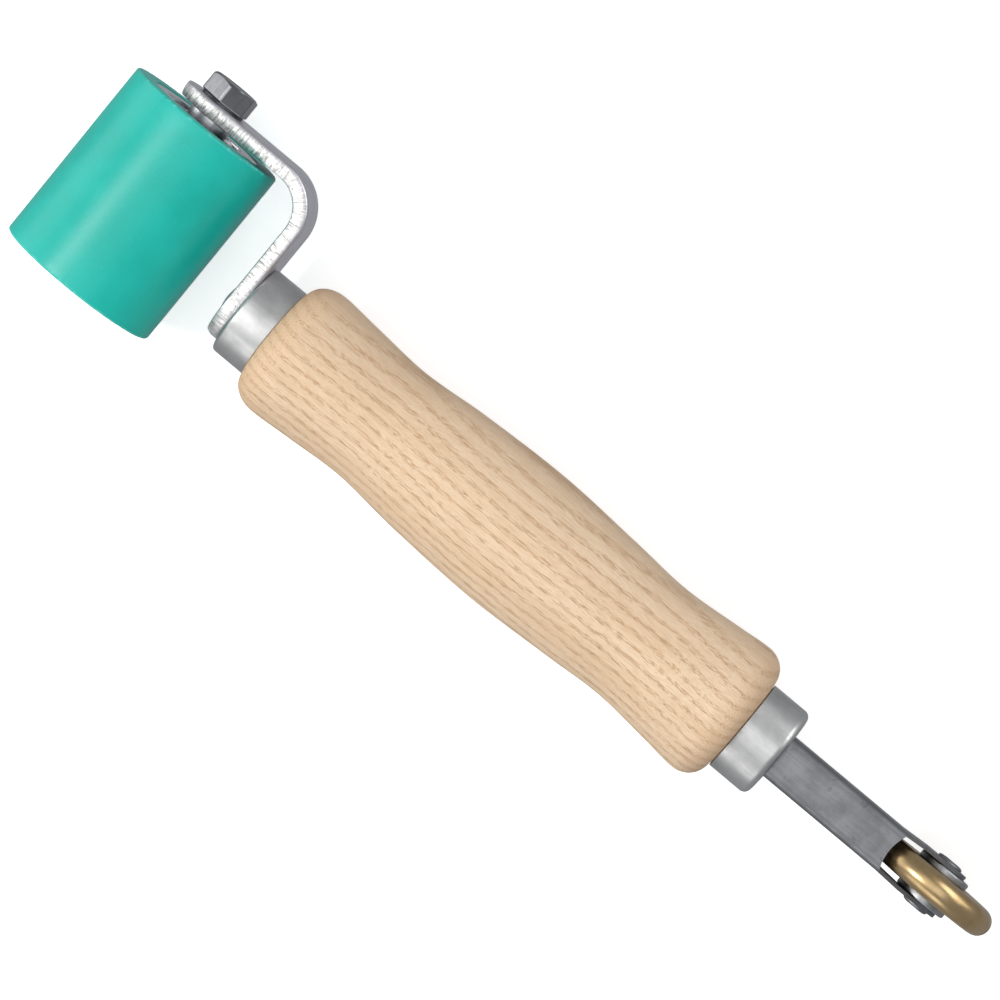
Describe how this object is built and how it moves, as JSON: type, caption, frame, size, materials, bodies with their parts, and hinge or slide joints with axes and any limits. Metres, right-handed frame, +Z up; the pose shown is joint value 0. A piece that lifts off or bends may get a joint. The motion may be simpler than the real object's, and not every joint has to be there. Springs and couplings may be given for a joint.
{
  "type": "double-ended hand roller",
  "caption": "Rubber pressure roller on a one-sided steel arm, with a turned wooden handle and a brass detail wheel in a channel fork at the far end.",
  "frame": {"origin": "middle of the pressure roller, on its axle", "axes": "+X along the handle towards the brass wheel, +Y along the roller's axle towards the arm, +Z up; the roller and the brass wheel both stand on one level surface below"},
  "size_m": [0.2317, 0.0491, 0.0342],
  "materials": {
    "wood": "sanded, thin matt oil",
    "ferrule_steel": "satin plated",
    "arm_steel": "bright zinc plated, sheared edges",
    "screw_steel": "zinc plated",
    "bolt_steel": "plain steel, satin",
    "washer_steel": "dark spring steel",
    "turned_steel": "turned, zinc plated",
    "bearing_steel": "ground and polished",
    "cage_plastic": "moulded",
    "shield_steel": "pressed sheet",
    "core_metal": "turned and polished end faces",
    "sleeve_rubber": "smooth moulded silicone rubber, satin",
    "fork_steel": "dull bare sheet, fine scratches",
    "wheel_brass": "turned, satin",
    "rivet_steel": "dull, upset heads",
    "wheel_washer_steel": "zinc plated"
  },
  "bodies": {
    "handle": {"wood_handle": "wood", "front_ferrule": "ferrule_steel", "rear_ferrule": "ferrule_steel", "arm": "arm_steel", "arm_screw": "screw_steel", "axle_bolt": "bolt_steel", "spring_washer": "washer_steel", "thrust_spacer": "turned_steel", "arm_side_inner_ring": "bearing_steel", "free_side_inner_ring": "bearing_steel", "bearing_spacer": "turned_steel", "end_washer": "turned_steel", "end_nut": "turned_steel", "fork": "fork_steel", "wheel_rivet": "rivet_steel", "wheel_washers": "wheel_washer_steel"},
    "roller": {"roller_sleeve": "sleeve_rubber", "roller_core": "core_metal", "arm_side_outer_ring": "bearing_steel", "free_side_outer_ring": "bearing_steel", "arm_side_shields": "shield_steel", "free_side_shields": "shield_steel"},
    "arm_side_ball_set": {"arm_side_cage": "cage_plastic", "arm_side_balls": "bearing_steel"},
    "free_side_ball_set": {"free_side_cage": "cage_plastic", "free_side_balls": "bearing_steel"},
    "brass_wheel": {"detail_wheel": "wheel_brass"}
  },
  "joints": [
    {"name": "roller_spin", "type": "hinge", "parent": "handle", "child": "roller", "pos_m": [0, 0, 0], "axis": [0, 1, 0], "continuous": true},
    {"name": "arm_side_cage_spin", "type": "hinge", "parent": "handle", "child": "arm_side_ball_set", "pos_m": [0, 0.0164, 0], "axis": [0, 1, 0], "continuous": true},
    {"name": "free_side_cage_spin", "type": "hinge", "parent": "handle", "child": "free_side_ball_set", "pos_m": [0, -0.0122, 0], "axis": [0, 1, 0], "continuous": true},
    {"name": "wheel_spin", "type": "hinge", "parent": "handle", "child": "brass_wheel", "pos_m": [0.2007, -0.00322, -0.00319], "axis": [0, 0.9976, -0.0698], "continuous": true}
  ],
  "couplings": [
    {"joint": "arm_side_cage_spin", "follows": "roller_spin", "ratio": 0.64},
    {"joint": "free_side_cage_spin", "follows": "roller_spin", "ratio": 0.64}
  ]
}
